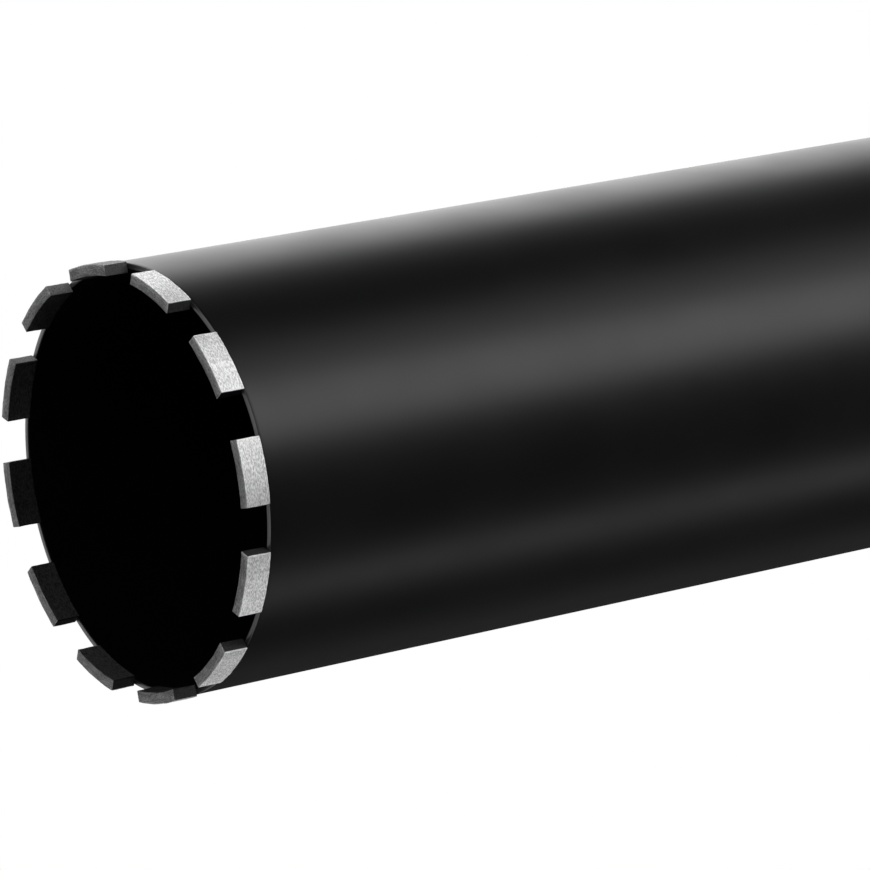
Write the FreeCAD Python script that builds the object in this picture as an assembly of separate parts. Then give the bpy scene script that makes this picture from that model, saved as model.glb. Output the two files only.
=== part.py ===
import FreeCAD, Part
import math
import os

# Wet diamond core bit: a thin steel barrel with a crown of sintered segments on its open
# end, closed at the back by a welded plate that carries a threaded hub.
# Millimetres, +Z up. The bit stands on its crown: z = 0 is the cutting plane, and the
# Z axis is the axis it turns about.

# Crown
crown_diameter = 162.0      # over the outer faces of the segments
segment_count = 12
segment_length = 24.5       # between the two parallel ends
segment_thickness = 4.4     # from inner to outer face
segment_height = 10.0       # from the cutting face to the brazed face
segment_edge_break = 0.25   # bevel along every edge of a segment
segment_overhang = 0.8      # outer face of a segment beyond the outside of the barrel

# Barrel
barrel_wall = 2.2
working_depth = 450.0       # from the cutting plane to the underside of the back plate

# Back plate
plate_flange = 6.0          # thickness of the rim that sits on the end of the barrel
plate_spigot = 4.0          # how far the plate reaches into the barrel
plate_fit_gap = 0.1         # radial gap between the spigot and the barrel
plate_edge_bevel = 2.0

# Hub, with the bore of a 1-1/4 inch thread, seven turns to the inch
inch = 25.4
thread_major = 1.25 * inch
thread_pitch = inch / 7
thread_depth_factor = 1.0825   # height of the thread on both sides, in pitches
hub_across_flats = 41.0
hub_corner_bevel_angle = 30.0
hub_hexagon_height = 26.0
hub_collar_height = 4.0
hub_collar_margin = 0.8     # collar radius beyond the corners of the hexagon
hub_spigot_wall = 4.0       # wall left around the thread where it passes the plate
hub_fit_gap = 0.1           # radial gap between the hub's spigot and the plate
hub_mouth_bevel = 0.6       # how far each mouth opens beyond the thread's major radius

# Welds
groove_share = 0.5          # part of the barrel's wall that the weld groove takes
bead_crown = 0.4            # height of the rim weld above the barrel's surface
bead_flat = 1.0             # width of the rim weld's crown
fillet_leg = 3.5            # leg of the fillet weld round the hub's collar
fillet_crown = 0.3          # bulge of that weld beyond its straight face

# Radii and levels that follow
crown_radius = crown_diameter / 2
barrel_outer = crown_radius - segment_overhang
barrel_inner = barrel_outer - barrel_wall
thread_bore = (thread_major - thread_depth_factor * thread_pitch) / 2
hub_corner = hub_across_flats / math.sqrt(3)
hub_collar = hub_corner + hub_collar_margin
hub_spigot = thread_bore + hub_spigot_wall
hub_mouth = thread_major / 2 + hub_mouth_bevel
groove = barrel_wall * groove_share

barrel_top = working_depth + plate_spigot
plate_top = barrel_top + plate_flange
collar_top = plate_top + hub_collar_height
hub_top = collar_top + hub_hexagon_height

UP = FreeCAD.Vector(0, 0, 1)
ORIGIN = FreeCAD.Vector(0, 0, 0)


def section_point(radius, level):
    """A point of a turned section, which lies in the XZ plane."""
    return FreeCAD.Vector(radius, 0, level)


def turned(outline):
    """Turn a closed section about Z. Its corners are (radius, level) pairs."""
    corners = [section_point(*corner) for corner in outline]
    wire = Part.makePolygon(corners + corners[:1])
    return Part.Face(wire).revolve(ORIGIN, UP, 360)


def segment(angle):
    """One sintered segment, curved to the crown and cut off square at both ends."""
    inner = crown_radius - segment_thickness
    ring = turned([
        (inner, 0),
        (crown_radius, 0),
        (crown_radius, segment_height),
        (inner, segment_height),
    ])
    slab = Part.makeBox(crown_diameter, segment_length, segment_height)
    slab.translate(FreeCAD.Vector(0, -segment_length / 2, 0))
    block = ring.common(slab).Solids[0]
    block = block.makeChamfer(segment_edge_break, block.Edges)
    block.rotate(ORIGIN, UP, angle)
    return block


def barrel():
    """The tube, with a weld groove round the end that the plate closes."""
    return turned([
        (barrel_inner, segment_height),
        (barrel_outer, segment_height),
        (barrel_outer, barrel_top - groove),
        (barrel_outer - groove, barrel_top),
        (barrel_inner, barrel_top),
    ])


def back_plate():
    """The disc that closes the barrel: a spigot inside it, a grooved rim on its end."""
    bore = hub_spigot + hub_fit_gap
    spigot = barrel_inner - plate_fit_gap
    return turned([
        (bore, working_depth),
        (spigot, working_depth),
        (spigot, barrel_top),
        (barrel_outer - groove, barrel_top),
        (barrel_outer, barrel_top + groove),
        (barrel_outer, plate_top - plate_edge_bevel),
        (barrel_outer - plate_edge_bevel, plate_top),
        (bore, plate_top),
    ])


def hub():
    """The threaded hub: a spigot through the plate, a round collar and a wrench hexagon."""
    spigot = Part.makeCylinder(hub_spigot, plate_top - working_depth)
    spigot.translate(FreeCAD.Vector(0, 0, working_depth))
    collar = Part.makeCylinder(hub_collar, hub_collar_height)
    collar.translate(FreeCAD.Vector(0, 0, plate_top))
    body = spigot.fuse([collar, hub_hexagon()]).removeSplitter()
    return body.cut(hub_bore())


def hub_hexagon():
    """The hexagon that a wrench holds, its corners turned down at the top."""
    corners = []
    for step in range(6):
        turn = math.radians(60 * step)
        spot = FreeCAD.Vector(math.cos(turn), math.sin(turn), 0) * hub_corner
        corners.append(spot + FreeCAD.Vector(0, 0, collar_top))
    prism = Part.Face(Part.makePolygon(corners + corners[:1])).extrude(UP * hub_hexagon_height)
    flat = hub_across_flats / 2
    drop = (hub_corner - flat) * math.tan(math.radians(hub_corner_bevel_angle))
    return prism.common(turned([
        (0, collar_top),
        (hub_corner, collar_top),
        (hub_corner, hub_top - drop),
        (flat, hub_top),
        (0, hub_top),
    ]))


def hub_bore():
    """The hole of the thread, right through the hub and opened out at both mouths."""
    flare = hub_mouth - thread_bore
    return turned([
        (0, working_depth),
        (hub_mouth, working_depth),
        (thread_bore, working_depth + flare),
        (thread_bore, hub_top - flare),
        (hub_mouth, hub_top),
        (0, hub_top),
    ])


def rim_weld():
    """The bead that fills the groove between the barrel and the back plate."""
    crown = barrel_outer + bead_crown
    return turned([
        (barrel_outer - groove, barrel_top),
        (barrel_outer, barrel_top - groove),
        (crown, barrel_top - bead_flat / 2),
        (crown, barrel_top + bead_flat / 2),
        (barrel_outer, barrel_top + groove),
    ])


def hub_weld():
    """The bulging fillet bead in the corner between the hub's collar and the back plate."""
    middle = fillet_leg / 2 + fillet_crown * math.sqrt(0.5)
    corner = section_point(hub_collar, plate_top)
    low = section_point(hub_collar + fillet_leg, plate_top)
    crown = section_point(hub_collar + middle, plate_top + middle)
    high = section_point(hub_collar, plate_top + fillet_leg)
    face = Part.Arc(low, crown, high).toShape()
    flanks = [Part.makeLine(high, corner), Part.makeLine(corner, low)]
    section = Part.Face(Part.Wire([face] + flanks))
    return section.revolve(ORIGIN, UP, 360)


def pieces():
    """Every piece of the bit by its name."""
    found = {
        "barrel": barrel(),
        "back_plate": back_plate(),
        "hub": hub(),
        "rim_weld": rim_weld(),
        "hub_weld": hub_weld(),
    }
    for index in range(segment_count):
        found["segment_%02d" % (index + 1)] = segment(index * 360 / segment_count)
    return found


os.makedirs("parts", exist_ok=True)
for name, shape in pieces().items():
    shape.exportStep("parts/" + name + ".step")
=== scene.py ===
"""A wet diamond core bit: steel barrel, sintered segments, back plate and threaded hub."""

from math import atan2, cos, hypot, inf, pi, radians, sin, tan

import bpy
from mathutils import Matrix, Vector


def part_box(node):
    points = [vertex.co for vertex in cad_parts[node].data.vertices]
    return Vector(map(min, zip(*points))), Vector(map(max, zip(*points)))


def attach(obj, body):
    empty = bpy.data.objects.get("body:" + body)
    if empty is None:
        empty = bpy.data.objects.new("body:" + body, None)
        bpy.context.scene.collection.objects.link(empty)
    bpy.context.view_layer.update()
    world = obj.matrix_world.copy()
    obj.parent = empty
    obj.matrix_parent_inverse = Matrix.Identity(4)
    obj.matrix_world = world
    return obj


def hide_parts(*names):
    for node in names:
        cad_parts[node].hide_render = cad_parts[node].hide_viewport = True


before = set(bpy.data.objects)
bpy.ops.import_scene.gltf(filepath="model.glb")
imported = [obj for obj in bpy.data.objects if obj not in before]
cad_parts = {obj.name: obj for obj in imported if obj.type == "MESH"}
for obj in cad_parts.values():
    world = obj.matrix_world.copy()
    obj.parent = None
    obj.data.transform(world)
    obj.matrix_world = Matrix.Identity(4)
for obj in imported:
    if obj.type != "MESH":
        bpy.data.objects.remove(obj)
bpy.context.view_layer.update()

bl_info = {
    "name": "Diamond core bit",
    "version": (1, 0, 0),
    "blender": (4, 5, 0),
    "location": "3D View > Sidebar > Core Bit",
    "description": "Models and finishes the pieces of a wet diamond core bit",
    "category": "Object",
}

MM = 0.001
IN_MM = (1 / MM, 1 / MM, 1 / MM)
NEAR = 0.1 * MM
ORIGIN = (0, 0, 0)
SEGMENTS = sorted(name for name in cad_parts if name.startswith("segment_"))


def turned_spots(node):
    """The node's corners as (distance from the bit's axis, level) pairs."""
    corners = [vertex.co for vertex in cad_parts[node].data.vertices]
    return [(hypot(co.x, co.y), co.z) for co in corners]


def reach(spots, above=-inf, below=inf):
    """Least and greatest radius, lowest and highest level of the spots between two levels."""
    radii, levels = zip(*[spot for spot in spots if above < spot[1] < below])
    return min(radii), max(radii), min(levels), max(levels)


HUB_SPOTS = turned_spots("hub")
PLATE_SPOTS = turned_spots("back_plate")
BARREL_INNER, BARREL_OUTER, BARREL_LOW, BARREL_HIGH = reach(turned_spots("barrel"))
PLATE_BORE, PLATE_OUTER, PLATE_LOW, PLATE_HIGH = reach(PLATE_SPOTS)
PLATE_SPIGOT = reach(PLATE_SPOTS, below=PLATE_LOW + NEAR)[1]
PLATE_TOP = reach(PLATE_SPOTS, above=PLATE_HIGH - NEAR)[1]
THREAD_BORE, HUB_COLLAR, HUB_LOW, HUB_HIGH = reach(HUB_SPOTS)
HUB_MOUTH = reach(HUB_SPOTS, above=HUB_HIGH - NEAR)[0]
HUB_SPIGOT = reach(HUB_SPOTS, below=HUB_LOW + NEAR)[1]
COLLAR_HIGH = reach([spot for spot in HUB_SPOTS if spot[0] > HUB_COLLAR - NEAR])[3]
HUB_CORNER = reach(HUB_SPOTS, above=COLLAR_HIGH + NEAR)[1]
SEGMENT_INNER, SEGMENT_OUTER, SEGMENT_LOW, SEGMENT_HIGH = reach(turned_spots(SEGMENTS[0]))
SEGMENT_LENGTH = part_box(SEGMENTS[0])[1].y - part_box(SEGMENTS[0])[0].y
BEAD_ROOT, BEAD_OUTER, BEAD_LOW, BEAD_HIGH = reach(turned_spots("rim_weld"))
FILLET_ROOT, FILLET_OUTER, FILLET_LOW, FILLET_HIGH = reach(turned_spots("hub_weld"))

# The hub's faces round, its rounded edges, and how far from an edge a ring of points stands
HUB_STEPS = 96
HUB_EDGE = 0.35 * MM
HUB_MARGIN = 0.6 * MM

# How pale each segment is, partly its own tone and partly painted light and shade set face by
# face: the crust on its two ends and inner face, the ground outer face
END_TONE_AND_PAINTED_LIGHT = (2.4, 1.1, 0.1, 1.2, 1.0, 1.0, 3.2, 0.4, 0.0, 1.0, 8.0, 5.8)
INNER_TONE_AND_PAINTED_LIGHT = (2.5, 2.5, 2.5, 2.5, 2.5, 2.5, 2.5, 4.0, 2.6, 1.8, 3.6, 4.0)
OUTER_TONE_AND_PAINTED_LIGHT = (0.48, 1.03, 1.05, 0.98, 1.02, 1.06, 0.8, 0.7, 0.9, 0.75, 0.85, 0.65)
# How much paler each ground face gets towards its far end, anticlockwise: a painted sheen and
# shade along the face
OUTER_PAINTED_SHEEN_LEAN = (0.0, -0.27, 0.25, -0.37, 0.25, 0.1, -0.1, 0.15, -0.2, 0.1, 0.2, -0.15)

# Tall lamps that the paint mirrors: azimuth and width in degrees, radiance
STRIPS = (
    ("key_strip", 64.8, 29.7, 3.6),
    ("fill_strip", 53.0, 51.0, 1.03),
    ("side_strip", 158.5, 14.7, 1.5),
    ("side_strip_far", 215.0, 30.0, 0.06),
    ("back_panel", -48.0, 34.0, 1.22),
    ("back_panel_far", -83.0, 36.0, 1.0),
)
# Low lamps for the segments, not mirrored: azimuth and width in degrees, lowest and
# highest level, radiance
CROWN_STRIPS = (
    ("low_front", 62.0, 34.0, 0.25, 0.5, 5.1),
    ("low_left", -10.0, 24.0, 0.04, 0.22, 15.0),
    ("low_right", 195.0, 24.0, 0.04, 0.22, 14.0),
)
OVERHEAD_RADIANCE = 3.5
# The sun that lights the cutting faces: azimuth, dip below the level and spread in degrees,
# strength
UNDER_LIGHT = (45.0, 40.0, 10.0, 0.45)
# Where the background is white to gloss: azimuth of its middle, and degrees to either side
# up to which it is white and at which it ends
WHITE_ZONE = (-62.0, 23.0, 33.0)


class CrownSettings(bpy.types.PropertyGroup):
    """Sizes and colours of the cutting segments."""

    edge: bpy.props.FloatProperty(
        name="Edge radius",
        description="Radius that sintering leaves on the edges of a segment",
        default=0.24 * MM,
        unit="LENGTH",
    )
    cell: bpy.props.FloatProperty(
        name="Surface cell",
        description="Spacing of the points that carry a segment's uneven surface",
        default=0.2 * MM,
        unit="LENGTH",
    )
    unevenness: bpy.props.FloatProperty(
        name="Unevenness",
        description="Depth of the slow swells over a segment's faces",
        default=0.3 * MM,
        unit="LENGTH",
    )
    metal: bpy.props.FloatVectorProperty(
        name="Sintered metal",
        description="Colour of the bond between the diamonds",
        default=(0.68, 0.68, 0.685),
        subtype="COLOR",
    )
    crust: bpy.props.FloatVectorProperty(
        name="Crust",
        description="Colour of the sides that are neither ground nor dressed",
        default=(0.03, 0.03, 0.03),
        subtype="COLOR",
    )


class BarrelSettings(bpy.types.PropertyGroup):
    """Sizes and colours of the barrel and of what is painted with it."""

    steps: bpy.props.IntProperty(
        name="Steps round",
        description="Number of faces round the barrel",
        default=256,
    )
    edge: bpy.props.FloatProperty(
        name="Broken edge",
        description="Bevel on the barrel's and the plate's sharp edges",
        default=0.2 * MM,
        unit="LENGTH",
    )
    paint: bpy.props.FloatVectorProperty(
        name="Paint",
        description="Colour of the satin black paint",
        default=(0.0015, 0.0015, 0.0016),
        subtype="COLOR",
    )
    gloss: bpy.props.FloatProperty(
        name="Paint roughness",
        description="Roughness of the satin paint",
        default=0.36,
        subtype="FACTOR",
    )
    steel: bpy.props.FloatVectorProperty(
        name="Bare steel",
        description="Colour of the unpainted end face and of the thread",
        default=(0.42, 0.42, 0.43),
        subtype="COLOR",
    )


class ThreadSettings(bpy.types.PropertyGroup):
    """Sizes of the thread in the hub."""

    major: bpy.props.FloatProperty(
        name="Major diameter",
        description="Diameter at the roots of the inner thread",
        default=31.75 * MM,
        unit="LENGTH",
    )
    pitch: bpy.props.FloatProperty(
        name="Pitch",
        description="Advance of the thread in one turn",
        default=25.4 / 7 * MM,
        unit="LENGTH",
    )
    steps: bpy.props.IntProperty(
        name="Steps round",
        description="Number of faces in one turn of the thread",
        default=72,
    )


class WeldSettings(bpy.types.PropertyGroup):
    """Sizes of the weld beads and of the ripples on them."""

    ripple: bpy.props.FloatProperty(
        name="Ripple",
        description="Length of one ripple of a weld bead",
        default=1.7 * MM,
        unit="LENGTH",
    )
    height: bpy.props.FloatProperty(
        name="Ripple height",
        description="Height of the ripples",
        default=0.22 * MM,
        unit="LENGTH",
    )
    bulge: bpy.props.FloatProperty(
        name="Hub bead's bulge",
        description="How far the bead round the hub bulges, outwards and upwards",
        default=0.25 * MM,
        unit="LENGTH",
    )
    rim_steps: bpy.props.IntProperty(
        name="Steps round the rim",
        description="Number of faces along the bead round the plate's rim",
        default=1800,
    )
    hub_steps: bpy.props.IntProperty(
        name="Steps round the hub",
        description="Number of faces along the bead round the hub",
        default=640,
    )


class StageSettings(bpy.types.PropertyGroup):
    """The camera, the lamps and the floor."""

    camera_place: bpy.props.FloatVectorProperty(
        name="Camera place",
        description="Where the camera stands",
        default=(0.0957110, 1.8047611, -1.1292414),
        unit="LENGTH",
    )
    camera_turn: bpy.props.FloatVectorProperty(
        name="Camera turn",
        description="Turns of the camera about X, Y and Z",
        default=[radians(turn) for turn in (164.9284, -53.4520, 105.3767)],
        subtype="EULER",
        unit="ROTATION",
    )
    lens: bpy.props.FloatProperty(
        name="Lens",
        description="Focal length of the camera",
        default=242.4,
        unit="CAMERA",
    )
    lamp_distance: bpy.props.FloatProperty(
        name="Lamp distance",
        description="From the bit's axis to each strip lamp",
        default=1.4,
        unit="LENGTH",
    )
    lamp_low: bpy.props.FloatProperty(
        name="Lamps' lower end",
        description="Level at which the tall strip lamps begin",
        default=0.45,
        unit="LENGTH",
    )
    lamp_high: bpy.props.FloatProperty(
        name="Lamps' upper end",
        description="Level at which the tall strip lamps end",
        default=2.1,
        unit="LENGTH",
    )
    overhead_size: bpy.props.FloatProperty(
        name="Overhead lamp",
        description="Side of the square lamp above the bit",
        default=1.4,
        unit="LENGTH",
    )
    overhead_level: bpy.props.FloatProperty(
        name="Overhead level",
        description="Level of the lamp above the bit",
        default=2.4,
        unit="LENGTH",
    )
    floor_radius: bpy.props.FloatProperty(
        name="Floor radius",
        description="Radius of the round floor",
        default=12,
        unit="LENGTH",
    )
    floor_gap: bpy.props.FloatProperty(
        name="Floor gap",
        description="How far the floor lies under the cutting faces",
        default=0.4 * MM,
        unit="LENGTH",
    )


class Value:
    """A shader socket that adds Math nodes when it is used in an expression."""

    def __init__(self, finish, socket):
        self.finish = finish
        self.socket = socket

    def __add__(self, other):
        return self.finish.maths("ADD", self, other)

    def __sub__(self, other):
        return self.finish.maths("SUBTRACT", self, other)

    def __rsub__(self, other):
        return self.finish.maths("SUBTRACT", other, self)

    def __mul__(self, other):
        return self.finish.maths("MULTIPLY", self, other)

    __radd__ = __add__
    __rmul__ = __mul__


class Finish:
    """The node tree of a material or of the world, while it is being built."""

    def __init__(self, holder):
        holder.use_nodes = True
        self.holder = holder
        self.tree = holder.node_tree

    def node(self, kind, settings, sockets, output=0):
        """Add a node: its settings first, then the values or links of its sockets."""
        made = self.tree.nodes.new("ShaderNode" + kind)
        for name, setting in settings.items():
            setattr(made, name, setting)
        for name, value in sockets.items():
            self.feed(made.inputs[name], value)
        return Value(self, made.outputs[output])

    def feed(self, socket, value):
        """Link a value to a socket, or set the socket to a number or colour."""
        if isinstance(value, Value):
            self.tree.links.new(value.socket, socket)
        else:
            socket.default_value = value

    def maths(self, operation, *values):
        """One Math node on numbers or values."""
        return self.node("Math", {"operation": operation}, dict(enumerate(values)))

    def blend(self, share, low, high):
        """Mix two colours."""
        return self.node("Mix", {"data_type": "RGBA"}, {0: share, 6: low, 7: high}, output=2)

    def span(self, value, low, high):
        """How far a value has come from low to high, from 0 to 1, with soft ends."""
        sockets = {"Value": value, "From Min": low, "From Max": high}
        return self.node("MapRange", {"interpolation_type": "SMOOTHSTEP"}, sockets)

    def place(self, scale=(1, 1, 1), turn=0.0, spot=None):
        """The piece's own coordinates or a spot, stretched by scale and turned about Z."""
        spot = spot or self.node("TexCoord", {}, {}, output="Object")
        sockets = {"Vector": spot, "Scale": scale, "Rotation": (0, 0, turn)}
        return self.node("Mapping", {}, sockets)

    def noise(self, size, detail=2, scale=(1, 1, 1), spot=None):
        """Noise whose patches are about size across."""
        vector = self.place(scale, spot=spot)
        return self.node("TexNoise", {}, {"Vector": vector, "Scale": 1 / size, "Detail": detail})

    def scaled(self, shade, factor):
        """A colour made lighter or darker by a factor that varies."""
        return self.node("VectorMath", {"operation": "SCALE"}, {0: shade, "Scale": factor})

    def parts(self, spot):
        """The X, Y and Z of a spot or a direction."""
        node = self.node("SeparateXYZ", {}, {0: spot}).socket.node
        return [Value(self, output) for output in node.outputs]

    def length(self, spot):
        """Distance of a spot from the origin."""
        return self.node("VectorMath", {"operation": "LENGTH"}, {0: spot}, output="Value")

    def level(self):
        """Height above the cutting plane, in millimetres."""
        return self.parts(self.place(IN_MM))[2]

    def radius(self):
        """Distance from the bit's axis, in millimetres."""
        return self.length(self.place((1 / MM, 1 / MM, 0)))

    def ray(self, kind):
        """Whether the ray that meets the surface is of one kind."""
        return self.node("LightPath", {}, {}, output="Is " + kind + " Ray")

    def bump(self, height, depth, strength=1.0):
        """A normal that follows a height from 0 to 1, depth metres deep."""
        return self.node("Bump", {}, {"Height": height, "Distance": depth, "Strength": strength})


def colour(shade, factor=1.0):
    """A colour with its alpha, made lighter or darker by a factor."""
    return (*(part * factor for part in shade), 1.0)


def metal_finish(name, specular=0.5):
    """A new material and its principled shader."""
    finish = Finish(bpy.data.materials.new(name))
    surface = finish.tree.nodes["Principled BSDF"]
    surface.inputs["Specular IOR Level"].default_value = specular
    return finish, surface


def paint_finish(name, bare_below=None, bare_within=None):
    """Satin black paint, left off below a level and within a radius in millimetres."""
    settings = bpy.context.scene.bit_barrel
    finish, surface = metal_finish(name, specular=0.25)
    drift = finish.noise(40 * MM, detail=3)
    film = finish.noise(0.9 * MM)
    tone = finish.span(drift, 0.3, 0.7)
    shade = finish.blend(tone, colour(settings.paint, 0.9), colour(settings.paint, 1.1))
    rough = settings.gloss - 0.015 + 0.03 * tone
    steel_rough = 0.34
    metallic = 0.0
    masks = []
    if bare_below is not None:
        scraped = finish.span(finish.level(), bare_below + 0.04, bare_below - 0.04)
        inner = BARREL_INNER / MM + 0.2
        masks.append(scraped * finish.span(finish.radius(), inner, inner + 0.4))
    if bare_within is not None:
        masks.append(finish.span(finish.radius(), bare_within + 0.05, bare_within - 0.05))
    for bare in masks:
        lathe = finish.noise(0.12 * MM, detail=3)
        steel = finish.blend(lathe, colour(settings.steel, 0.36), colour(settings.steel, 0.45))
        shade = finish.blend(bare, shade, steel)
        rough = rough + bare * (steel_rough - rough)
        metallic = bare
    finish.feed(surface.inputs["Base Color"], shade)
    finish.feed(surface.inputs["Roughness"], rough)
    finish.feed(surface.inputs["Metallic"], metallic)
    finish.feed(surface.inputs["Normal"], finish.bump(film, 0.004 * MM))
    return finish.holder


def segment_finish():
    """Sintered metal, ground bright outside and at the cutting face and dark elsewhere."""
    settings = bpy.context.scene.bit_crown
    finish, surface = metal_finish("sintered_metal", specular=0.12)
    # Turned by half a spacing, so that each segment lies in the middle of its own part
    spacing = 2 * pi / len(SEGMENTS)
    across, aside, level = finish.parts(finish.place(IN_MM, turn=spacing / 2))
    azimuth = finish.maths("ARCTAN2", aside, across)
    radius = finish.radius()
    outside = SEGMENT_OUTER / MM
    off_middle = finish.maths("FLOORED_MODULO", azimuth, spacing) - spacing / 2
    from_end = SEGMENT_LENGTH / MM / 2 - outside * finish.maths("ABSOLUTE", off_middle)

    # The outer face is ground, the cutting face is dressed
    ground = finish.span(radius, outside - 0.45, outside - 0.2)
    dressed = finish.span(level, 0.2, 0.06)
    bright = finish.maths("MAXIMUM", ground, dressed)

    # Grain that is drawn out along the cut, dark pores, and streaks on the cutting face
    laid = finish.node("CombineXYZ", {}, {0: radius, 1: outside * azimuth, 2: level})
    grain = finish.noise(0.34, scale=(1, 0.3, 1), spot=laid)
    pores = finish.noise(0.26, spot=laid)
    streaks = finish.noise(0.9, detail=3, scale=(1, 0.12, 1), spot=laid)
    patches = finish.span(finish.noise(6, detail=3, spot=laid), 0.3, 0.7)
    mottle = finish.span(grain, 0.38, 0.62)
    tone = 0.6 + 0.52 * mottle - 0.18 * finish.span(pores, 0.46, 0.34)
    tone = tone * (1 - dressed * (0.3 + 0.22 * finish.span(streaks, 0.58, 0.4)))

    # Paler edges round the ground face, partly wear and partly a painted highlight along the edges
    from_rim = finish.maths("MINIMUM", SEGMENT_HIGH / MM - level, level)
    from_edge = finish.maths("MINIMUM", from_rim, from_end)
    tone = tone + 0.2 * finish.span(from_edge, 0.55, 0.25) * ground

    # Each segment's own tone with its painted light and shade, with the palest grain kept below
    # white
    shade = finish.node("Attribute", {"attribute_name": "shade"}, {}, output="Fac")
    tone = tone * (0.92 + 0.16 * patches) * (1 + ground * (1 - dressed) * (shade - 1))
    palest = 1.22
    metal = finish.scaled(settings.metal, finish.maths("MINIMUM", tone, palest))
    # The crust on the ends and inner face gets the same painted light and shade
    crust = finish.scaled(settings.crust, (0.4 + 0.6 * mottle) * shade)
    rough = 0.46 + 0.1 * patches + 0.2 * ground
    finish.feed(surface.inputs["Base Color"], finish.blend(bright, crust, metal))
    finish.feed(surface.inputs["Metallic"], 0.5 * dressed)
    finish.feed(surface.inputs["Roughness"], rough)
    finish.feed(surface.inputs["Normal"], finish.bump(grain + 0.5 * pores, 0.08 * MM, 0.8))
    return finish.holder


def thread_finish():
    """Bare cut steel with fine lines along the cut."""
    settings = bpy.context.scene.bit_barrel
    finish, surface = metal_finish("cut_steel")
    surface.inputs["Metallic"].default_value = 1.0
    lines = finish.noise(0.5 * MM, detail=3, scale=(0.15, 0.15, 4))
    shade = finish.blend(lines, colour(settings.steel, 0.7), colour(settings.steel))
    finish.feed(surface.inputs["Base Color"], shade)
    finish.feed(surface.inputs["Roughness"], 0.26 + 0.16 * lines)
    finish.feed(surface.inputs["Normal"], finish.bump(lines, 0.01 * MM))
    return finish.holder


def fresh():
    """Leave edit mode and deselect everything, so that an operator acts on new work only."""
    if bpy.context.object and bpy.context.object.mode != "OBJECT":
        bpy.ops.object.mode_set(mode="OBJECT")
    bpy.ops.object.select_all(action="DESELECT")


def hold(piece):
    """Make a piece the only selected and active one."""
    fresh()
    piece.select_set(True)
    bpy.context.view_layer.objects.active = piece


def settle(piece):
    """Put a piece's place, turn and size into its mesh."""
    hold(piece)
    bpy.ops.object.transform_apply(location=True, rotation=True, scale=True)


def apply_modifier(piece, kind, **settings):
    """Add a modifier to a piece and apply it."""
    hold(piece)
    modifier = piece.modifiers.new(kind.lower(), kind)
    for name, setting in settings.items():
        setattr(modifier, name, setting)
    bpy.ops.object.modifier_apply(modifier=modifier.name)


def turned(name, outline, steps):
    """A closed turned piece: a ring of points is drawn along its outline and back."""
    fresh()
    radius, level = outline[0]
    bpy.ops.mesh.primitive_circle_add(vertices=steps, radius=radius, location=(0, 0, level))
    piece = bpy.context.object
    piece.name = name
    settle(piece)
    bpy.ops.object.mode_set(mode="EDIT")
    bpy.ops.mesh.select_all(action="SELECT")
    for next_radius, next_level in outline[1:] + outline[:1]:
        rise = {"value": (0, 0, next_level - level)}
        bpy.ops.mesh.extrude_region_move(TRANSFORM_OT_translate=rise)
        grow = next_radius / radius
        bpy.ops.transform.resize(value=(grow, grow, 1), center_override=(0, 0, next_level))
        radius, level = next_radius, next_level
    bpy.ops.mesh.select_all(action="SELECT")
    bpy.ops.mesh.remove_doubles(threshold=0.001 * MM)
    bpy.ops.mesh.normals_make_consistent(inside=False)
    bpy.ops.object.mode_set(mode="OBJECT")
    return piece


def upright_plate(name, inner, outer, low, high):
    """An upright face on the +X side, between two radii and two levels."""
    fresh()
    middle = ((inner + outer) / 2, 0, (low + high) / 2)
    bpy.ops.mesh.primitive_plane_add(size=1, location=middle, rotation=(pi / 2, 0, 0))
    piece = bpy.context.object
    piece.name = name
    piece.scale = (outer - inner, high - low, 1)
    settle(piece)
    return piece


def cut_off(spot, out, fill=True):
    """In edit mode, cut off what lies beyond a plane through a spot."""
    bpy.ops.mesh.select_all(action="SELECT")
    cut = {"plane_co": spot, "plane_no": out, "threshold": 1e-7}
    bpy.ops.mesh.bisect(use_fill=fill, clear_outer=True, **cut)


def break_edges(piece, width, sections=2, sharp=40):
    """Bevel a piece's sharp edges and shade it smooth between them."""
    limits = {"limit_method": "ANGLE", "angle_limit": radians(sharp)}
    apply_modifier(piece, "BEVEL", width=width, segments=sections, **limits)
    hold(piece)
    bpy.ops.object.shade_smooth_by_angle(angle=radians(sharp))


def deliver(piece, material, slot, *nodes):
    """Give a finished piece its material and its place on the bit."""
    piece.data.materials.clear()
    piece.data.materials.append(material)
    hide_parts(*nodes)
    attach(piece, "root")


def segment_blank():
    """One segment on the +X side, swept round the crown and cut off square."""
    blank = upright_plate("segment_blank", SEGMENT_INNER, SEGMENT_OUTER, SEGMENT_LOW, SEGMENT_HIGH)
    sweep = 1.15 * SEGMENT_LENGTH / SEGMENT_INNER
    bpy.ops.object.mode_set(mode="EDIT")
    bpy.ops.mesh.select_all(action="SELECT")
    bpy.ops.transform.rotate(value=sweep / 2, orient_axis="Z", center_override=ORIGIN)
    bpy.ops.mesh.spin(steps=36, angle=-sweep, center=ORIGIN, axis=(0, 0, 1))
    for side in (-1, 1):
        cut_off((0, side * SEGMENT_LENGTH / 2, 0), (0, side, 0))
    bpy.ops.mesh.select_all(action="SELECT")
    bpy.ops.mesh.normals_make_consistent(inside=False)
    bpy.ops.object.mode_set(mode="OBJECT")
    return blank


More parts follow.
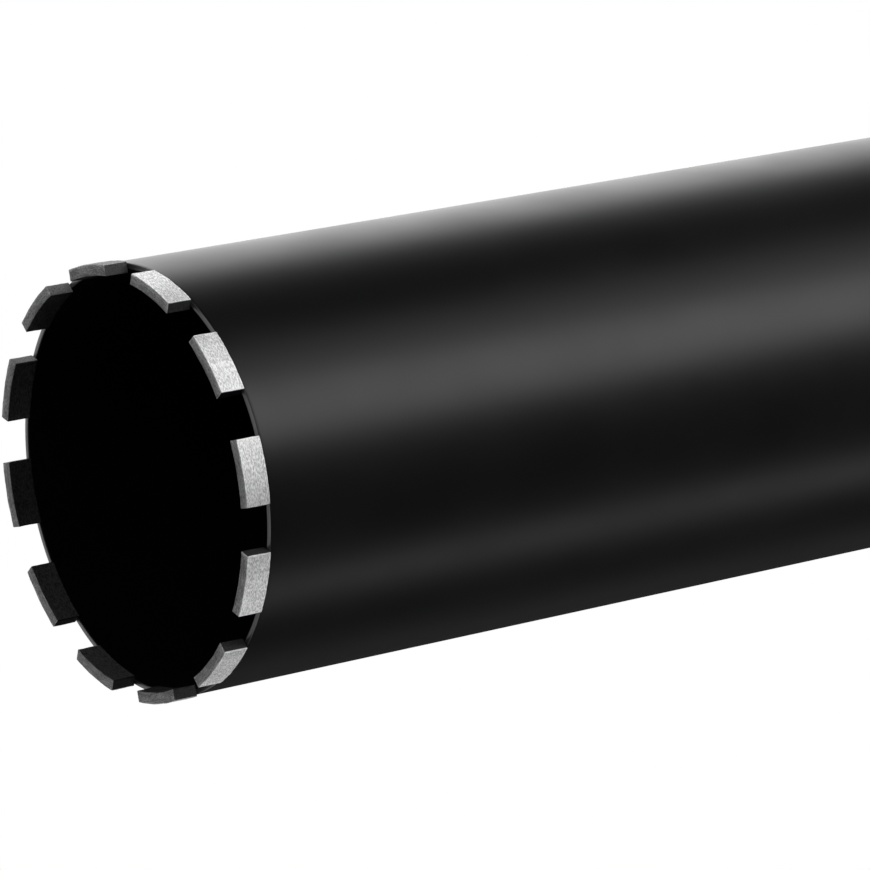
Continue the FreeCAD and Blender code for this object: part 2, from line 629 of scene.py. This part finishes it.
def spread_tone_and_painted_light(piece, index):
    """Note at each point of an unturned segment how pale it is: its own tone with painted light
    and shade.
    """
    near_end = SEGMENT_LENGTH / 2 - 0.15 * MM
    near_outside = SEGMENT_OUTER - 0.5 * MM
    shades = []
    for point in piece.data.vertices:
        if hypot(point.co.x, point.co.y) > near_outside:
            lean = OUTER_PAINTED_SHEEN_LEAN[index] * point.co.y / (SEGMENT_LENGTH / 2)
            shades.append(OUTER_TONE_AND_PAINTED_LIGHT[index] * (1 + lean))
        elif abs(point.co.y) > near_end:
            shades.append(END_TONE_AND_PAINTED_LIGHT[index])
        else:
            shades.append(INNER_TONE_AND_PAINTED_LIGHT[index])
    piece.data.attributes.new("shade", "FLOAT", "POINT").data.foreach_set("value", shades)


def clouds(name, size):
    """A texture of soft random swells."""
    texture = bpy.data.textures.new(name, "CLOUDS")
    texture.noise_scale = size
    return texture


class BIT_OT_segments(bpy.types.Operator):
    """Model the sintered segments on the crown"""

    bl_idname = "bit.segments"
    bl_label = "Segments"

    def execute(self, context):
        settings = context.scene.bit_crown
        material = segment_finish()
        blank = segment_blank()
        break_edges(blank, settings.edge, sections=3)
        apply_modifier(blank, "REMESH", mode="VOXEL", voxel_size=settings.cell)
        # Slow swells and fine grit, which take off a little more than they put on
        swell = clouds("segment_swell", 5 * MM)
        grit = clouds("segment_grit", 0.8 * MM)
        layers = ((swell, settings.unevenness), (grit, settings.unevenness / 5))
        for index, node in enumerate(SEGMENTS):
            fresh()
            piece = blank.copy()
            piece.data = blank.data.copy()
            piece.name = node + "_sintered"
            context.collection.objects.link(piece)
            spread_tone_and_painted_light(piece, index)
            piece.rotation_euler.z = 2 * pi * index / len(SEGMENTS)
            settle(piece)
            for texture, strength in layers:
                apply_modifier(piece, "DISPLACE", texture=texture, texture_coords="LOCAL",
                               strength=strength, mid_level=0.55)
            hold(piece)
            bpy.ops.object.shade_smooth()
            deliver(piece, material, "segment_metal", node)
        bpy.data.objects.remove(blank)
        return {"FINISHED"}


class BIT_OT_barrel(bpy.types.Operator):
    """Model the barrel, open at the crown and grooved for its weld at the back"""

    bl_idname = "bit.barrel"
    bl_label = "Barrel"

    def execute(self, context):
        settings = context.scene.bit_barrel
        margin = 1.5 * MM
        outline = [
            (BARREL_INNER, BARREL_LOW),
            (BARREL_OUTER, BARREL_LOW),
            (BARREL_OUTER, BARREL_LOW + margin),
            (BARREL_OUTER, BEAD_LOW - margin),
            (BARREL_OUTER, BEAD_LOW),
            (BEAD_ROOT, BARREL_HIGH),
            (BARREL_INNER, BARREL_HIGH),
            (BARREL_INNER, BARREL_HIGH - margin),
            (BARREL_INNER, BARREL_LOW + margin),
        ]
        piece = turned("barrel_tube", outline, settings.steps)
        break_edges(piece, settings.edge)
        bare = (BARREL_LOW + settings.edge / 2) / MM
        deliver(piece, paint_finish("barrel_paint", bare_below=bare), "barrel_paint", "barrel")
        return {"FINISHED"}


class BIT_OT_back_plate(bpy.types.Operator):
    """Model the plate that closes the back of the barrel"""

    bl_idname = "bit.back_plate"
    bl_label = "Back plate"

    def execute(self, context):
        settings = context.scene.bit_barrel
        margin = 0.8 * MM
        outline = [
            (PLATE_BORE, PLATE_LOW),
            (PLATE_SPIGOT - margin, PLATE_LOW),
            (PLATE_SPIGOT, PLATE_LOW),
            (PLATE_SPIGOT, BARREL_HIGH),
            (BEAD_ROOT, BARREL_HIGH),
            (PLATE_OUTER, BEAD_HIGH),
            (PLATE_OUTER, PLATE_HIGH - (PLATE_OUTER - PLATE_TOP)),
            (PLATE_TOP, PLATE_HIGH),
            (PLATE_TOP - margin, PLATE_HIGH),
            (PLATE_BORE + margin, PLATE_HIGH),
            (PLATE_BORE, PLATE_HIGH),
        ]
        piece = turned("back_plate_disc", outline, settings.steps)
        break_edges(piece, settings.edge)
        deliver(piece, paint_finish("plate_paint"), "plate_paint", "back_plate")
        return {"FINISHED"}


def hexagon(root):
    """The upper part of the hub: a turned boss, let into the collar, with six flats."""
    flat = HUB_CORNER * cos(pi / 6)
    drop = (HUB_CORNER - flat) * tan(radians(30))
    outline = [
        (root, COLLAR_HIGH - HUB_MARGIN),
        (HUB_CORNER, COLLAR_HIGH - HUB_MARGIN),
        (HUB_CORNER, HUB_HIGH - drop),
        (flat, HUB_HIGH),
        (flat - HUB_MARGIN, HUB_HIGH),
        (HUB_MOUTH + HUB_MARGIN, HUB_HIGH),
        (HUB_MOUTH, HUB_HIGH),
        (root, HUB_HIGH - (HUB_MOUTH - root)),
    ]
    boss = turned("hub_hexagon", outline, HUB_STEPS)
    bpy.ops.object.mode_set(mode="EDIT")
    for side in range(6):
        turn = radians(60 * side + 30)
        cut_off((flat * cos(turn), flat * sin(turn), 0), (cos(turn), sin(turn), 0))
    bpy.ops.object.mode_set(mode="OBJECT")
    return boss


class BIT_OT_hub(bpy.types.Operator):
    """Model the hub: its spigot, collar and wrench hexagon"""

    bl_idname = "bit.hub"
    bl_label = "Hub"

    def execute(self, context):
        root = context.scene.bit_thread.major / 2
        outline = [
            (root, HUB_LOW + HUB_MOUTH - root),
            (HUB_MOUTH, HUB_LOW),
            (HUB_SPIGOT, HUB_LOW),
            (HUB_SPIGOT, PLATE_HIGH),
            (HUB_COLLAR, PLATE_HIGH),
            (HUB_COLLAR, COLLAR_HIGH),
            (HUB_COLLAR - HUB_MARGIN, COLLAR_HIGH),
            (root, COLLAR_HIGH),
        ]
        collar = turned("hub_body", outline, HUB_STEPS)
        boss = hexagon(root)
        for part in (collar, boss):
            break_edges(part, HUB_EDGE, sections=3, sharp=28)
        hold(collar)
        boss.select_set(True)
        bpy.ops.object.join()
        paint = paint_finish("hub_paint", bare_within=HUB_MOUTH / MM + 0.1)
        deliver(collar, paint, "hub_steel", "hub")
        return {"FINISHED"}


def ridge_profile(root, pitch):
    """The ridge's outline, from a plate that is cut off slanting at both flanks."""
    wide = pitch * 7 / 8
    narrow = pitch / 4
    depth = root - THREAD_BORE
    piece = upright_plate("hub_thread_ridge", THREAD_BORE, root, -wide / 2, wide / 2)
    bpy.ops.object.mode_set(mode="EDIT")
    for side in (-1, 1):
        slant = ((narrow - wide) / 2, 0, side * depth)
        cut_off((THREAD_BORE, 0, side * narrow / 2), slant, fill=False)
    bpy.ops.mesh.select_all(action="SELECT")
    bpy.ops.mesh.remove_doubles(threshold=0.001 * MM)
    bpy.ops.mesh.delete(type="ONLY_FACE")
    bpy.ops.object.mode_set(mode="OBJECT")
    return piece


def cut_mouth(piece, level, up, beyond):
    """Cut the ridge off along the cone of one of the hub's mouths."""
    inner = 0.6 * THREAD_BORE
    mouth = HUB_MOUTH + 0.02 * MM
    cone = [
        (inner, level - up * (mouth - inner)),
        (mouth + beyond, level + up * beyond),
        (inner, level + up * beyond),
    ]
    plug = turned("mouth_plug", cone, HUB_STEPS)
    apply_modifier(piece, "BOOLEAN", operation="DIFFERENCE", object=plug)
    bpy.data.objects.remove(plug)


class BIT_OT_hub_thread(bpy.types.Operator):
    """Model the hub's inner thread as one helical ridge"""

    bl_idname = "bit.hub_thread"
    bl_label = "Hub thread"

    def execute(self, context):
        thread = context.scene.bit_thread
        piece = ridge_profile(thread.major / 2 + 0.05 * MM, thread.pitch)
        turns = (HUB_HIGH - HUB_LOW) / thread.pitch + 1
        apply_modifier(piece, "SCREW", angle=2 * pi * turns, screw_offset=thread.pitch * turns,
                       iterations=1, steps=int(thread.steps * turns), use_normal_calculate=True)
        piece.location.z = HUB_LOW - thread.pitch / 2
        settle(piece)
        bpy.ops.object.mode_set(mode="EDIT")
        bpy.ops.mesh.select_all(action="SELECT")
        bpy.ops.mesh.fill_holes(sides=4)
        bpy.ops.mesh.normals_make_consistent(inside=False)
        bpy.ops.object.mode_set(mode="OBJECT")
        cut_mouth(piece, HUB_LOW, -1, 2 * thread.pitch)
        cut_mouth(piece, HUB_HIGH, 1, 2 * thread.pitch)
        hold(piece)
        bpy.ops.object.shade_smooth_by_angle(angle=radians(25))
        deliver(piece, thread_finish(), "hub_steel")
        return {"FINISHED"}


def ripple_map(piece, ripple, middle_radius, middle_level):
    """Give a bead a map that runs along it in ripples and bows back at its two sides."""
    count = round(2 * pi * middle_radius / ripple)
    wave = pi / 10  # how much of the map one wave of the texture takes
    bow = 0.9  # ripples by which the map bows back, per ripple's length from the middle
    layer = piece.data.uv_layers.new(name="ripples")
    for polygon in piece.data.polygons:
        spots = [piece.data.vertices[index].co for index in polygon.vertices]
        turns = [atan2(spot.y, spot.x) / (2 * pi) for spot in spots]
        for loop, spot, turn in zip(polygon.loop_indices, spots, turns):
            whole = turn + (1 if max(turns) - turn > 0.5 else 0)
            aside = hypot(hypot(spot.x, spot.y) - middle_radius, spot.z - middle_level)
            layer.data[loop].uv = (wave * (whole * count + bow * aside / ripple), 0.5)


def weld_finish():
    """Black paint over a rippled weld."""
    settings = bpy.context.scene.bit_barrel
    finish, surface = metal_finish("weld_paint")
    scale = finish.noise(1.2 * MM, detail=3)
    shade = finish.blend(scale, colour(settings.paint, 0.8), colour(settings.paint, 1.6))
    finish.feed(surface.inputs["Base Color"], shade)
    finish.feed(surface.inputs["Roughness"], settings.gloss - 0.06 + 0.12 * scale)
    finish.feed(surface.inputs["Normal"], finish.bump(scale, 0.05 * MM, 0.5))
    return finish.holder


class BIT_OT_welds(bpy.types.Operator):
    """Model the rippled weld beads round the plate's rim and the hub"""

    bl_idname = "bit.welds"
    bl_label = "Welds"

    def execute(self, context):
        settings = context.scene.bit_weld
        material = weld_finish()
        crown = BEAD_OUTER - BARREL_OUTER
        width = FILLET_OUTER - FILLET_ROOT
        height = FILLET_HIGH - FILLET_LOW
        rim_outline = [(BEAD_ROOT, BARREL_HIGH)]
        hub_outline = [(FILLET_ROOT, FILLET_LOW)]
        steps = 8
        for step in range(steps + 1):
            share = step / steps
            swell = sin(pi * share)
            level = BEAD_LOW + (BEAD_HIGH - BEAD_LOW) * share
            rim_outline.append((BARREL_OUTER + crown * swell, level))
            out = settings.bulge * swell
            radius = FILLET_ROOT + width * (1 - share) + out
            hub_outline.append((radius, FILLET_LOW + height * share + out))
        rim = turned("rim_weld_bead", rim_outline, settings.rim_steps)
        hub = turned("hub_weld_bead", hub_outline, settings.hub_steps)
        places = {
            rim: (BARREL_OUTER, BARREL_HIGH, "rim_weld"),
            hub: (FILLET_ROOT + width / 2, FILLET_LOW + height / 2, "hub_weld"),
        }
        waves = bpy.data.textures.new("weld_waves", "WOOD")
        waves.noise_basis_2 = "SIN"
        for piece, (radius, level, node) in places.items():
            ripple_map(piece, settings.ripple, radius, level)
            apply_modifier(piece, "DISPLACE", texture=waves, texture_coords="UV",
                           uv_layer="ripples", strength=settings.height, mid_level=1.0)
            hold(piece)
            bpy.ops.object.shade_smooth_by_angle(angle=radians(50))
            deliver(piece, material, "weld_paint", node)
        return {"FINISHED"}


def floor_finish():
    """A pale floor that is seen from above only and fades to white far from the bit."""
    finish = Finish(bpy.data.materials.new("pale_floor"))
    finish.tree.nodes.remove(finish.tree.nodes["Principled BSDF"])
    # Its own glow sets in from 0.15 metres and is full at 1.6 metres from the bit's axis
    away = finish.length(finish.node("TexCoord", {}, {}, output="Object"))
    near = finish.span(away, 0.15, 0.5)
    far = finish.span(away, 0.5, 1.6)
    seen = finish.ray("Camera") + finish.ray("Transmission")
    lit = seen * (0.3 * near + 0.7 * far) + finish.ray("Glossy") * (0.3 + 0.7 * far)
    white = finish.node("Emission", {}, {"Color": colour((1, 1, 1)), "Strength": 1.0})
    matt = finish.node("BsdfDiffuse", {}, {"Color": colour((0.88, 0.88, 0.88))})
    face = finish.node("MixShader", {}, {0: lit, 1: matt, 2: white})
    clear = finish.node("BsdfTransparent", {}, {})
    # From below, and to shadow rays, it is clear
    below = finish.node("NewGeometry", {}, {}, output="Backfacing")
    opened = finish.maths("MAXIMUM", below, finish.ray("Shadow"))
    shown = finish.node("MixShader", {}, {0: opened, 1: face, 2: clear})
    finish.feed(finish.tree.nodes["Material Output"].inputs["Surface"], shown)
    return finish.holder


def lamp(name, kind, place, turn, **settings):
    """Add a lamp that the camera doesn't see."""
    data = bpy.data.lights.new(name, kind)
    for setting, value in settings.items():
        setattr(data, setting, value)
    made = bpy.data.objects.new(name, data)
    bpy.context.collection.objects.link(made)
    made.location = place
    made.rotation_euler = turn
    made.visible_camera = False
    return made


def strip_lamp(name, azimuth, angle, low, high, distance, radiance):
    """Add an upright strip of light that faces the bit's axis and spans an angle of it."""
    height = high - low
    width = 2 * distance * tan(radians(angle) / 2)
    turn = radians(azimuth)
    place = (cos(turn) * distance, sin(turn) * distance, (low + high) / 2)
    return lamp(name, "AREA", place, (pi / 2, 0, turn + pi / 2), shape="RECTANGLE", size=width,
                size_y=height, energy=radiance * width * height * pi)


class BIT_OT_stage(bpy.types.Operator):
    """Set up the camera, the lamps, the floor and the white background"""

    bl_idname = "bit.stage"
    bl_label = "Stage"

    def execute(self, context):
        settings = context.scene.bit_stage
        scene = context.scene
        fresh()
        bpy.ops.object.camera_add(location=settings.camera_place, rotation=settings.camera_turn)
        camera = context.object
        camera.data.lens = settings.lens
        scene.camera = camera

        fresh()
        bpy.ops.mesh.primitive_circle_add(vertices=96, radius=settings.floor_radius,
                                          fill_type="NGON", location=(0, 0, -settings.floor_gap))
        floor = context.object
        floor.name = "floor"
        settle(floor)
        floor.data.materials.append(floor_finish())

        self.lamps(settings)
        self.world(scene)
        scene.view_settings.view_transform = "Standard"
        return {"FINISHED"}

    def lamps(self, settings):
        """Tall strips round the bit, low ones for its crown, one lamp above and one below."""
        distance = settings.lamp_distance
        for name, azimuth, angle, radiance in STRIPS:
            strip_lamp(name, azimuth, angle, settings.lamp_low, settings.lamp_high, distance,
                       radiance)
        for name, azimuth, angle, low, high, radiance in CROWN_STRIPS:
            strip = strip_lamp(name, azimuth, angle, low, high, distance, radiance)
            strip.visible_glossy = False
        size = settings.overhead_size
        lamp("overhead", "AREA", (0, 0, settings.overhead_level), (0, 0, 0), size=size,
             energy=OVERHEAD_RADIANCE * size * size * pi)
        azimuth, dip, spread, strength = UNDER_LIGHT
        upward = (radians(90 + dip), 0, radians(90 + azimuth))
        lamp("under_light", "SUN", ORIGIN, upward, energy=strength, angle=radians(spread))

    def world(self, scene):
        """White to the camera and behind the bit to gloss, dim to everything else."""
        scene.world = bpy.data.worlds.new("studio")
        finish = Finish(scene.world)
        ray = finish.node("TexCoord", {}, {}, output="Generated")
        across, aside, up = finish.parts(ray)
        azimuth = finish.maths("ARCTAN2", aside, across)
        middle, white, end = (radians(angle) for angle in WHITE_ZONE)
        off_middle = finish.maths("ABSOLUTE", azimuth - middle)
        behind = finish.span(off_middle, end, white)
        seen = finish.ray("Camera") + finish.ray("Transmission")
        shown = finish.maths("MAXIMUM", seen, finish.ray("Glossy") * behind)
        dim = 0.03 + 0.02 * finish.span(up, -0.05, 0.15)
        back = finish.tree.nodes["Background"]
        back.inputs["Color"].default_value = colour((1, 1, 1))
        finish.feed(back.inputs["Strength"], finish.maths("MAXIMUM", shown, dim))
        scene.world.cycles.sampling_method = "NONE"


class BIT_PT_panel(bpy.types.Panel):
    """The pieces of the core bit, in the order in which they are made"""

    bl_label = "Diamond core bit"
    bl_space_type = "VIEW_3D"
    bl_region_type = "UI"
    bl_category = "Core Bit"

    def draw(self, context):
        for operator in OPERATORS:
            self.layout.operator(operator.bl_idname)


SETTINGS = {
    "bit_crown": CrownSettings,
    "bit_barrel": BarrelSettings,
    "bit_thread": ThreadSettings,
    "bit_weld": WeldSettings,
    "bit_stage": StageSettings,
}
OPERATORS = [
    BIT_OT_segments,
    BIT_OT_barrel,
    BIT_OT_back_plate,
    BIT_OT_hub,
    BIT_OT_hub_thread,
    BIT_OT_welds,
    BIT_OT_stage,
]


def register():
    """Make the settings, operators and panel known to Blender."""
    for kind in (*SETTINGS.values(), *OPERATORS, BIT_PT_panel):
        bpy.utils.register_class(kind)
    for name, kind in SETTINGS.items():
        setattr(bpy.types.Scene, name, bpy.props.PointerProperty(type=kind))


def unregister():
    """Take the settings, operators and panel away again."""
    for name in SETTINGS:
        delattr(bpy.types.Scene, name)
    for kind in (BIT_PT_panel, *reversed(OPERATORS), *SETTINGS.values()):
        bpy.utils.unregister_class(kind)


def main():
    """Build the bit and its stage."""
    register()
    bpy.ops.bit.segments()
    bpy.ops.bit.barrel()
    bpy.ops.bit.back_plate()
    bpy.ops.bit.hub()
    bpy.ops.bit.hub_thread()
    bpy.ops.bit.welds()
    bpy.ops.bit.stage()


if __name__ == "__main__":
    main()
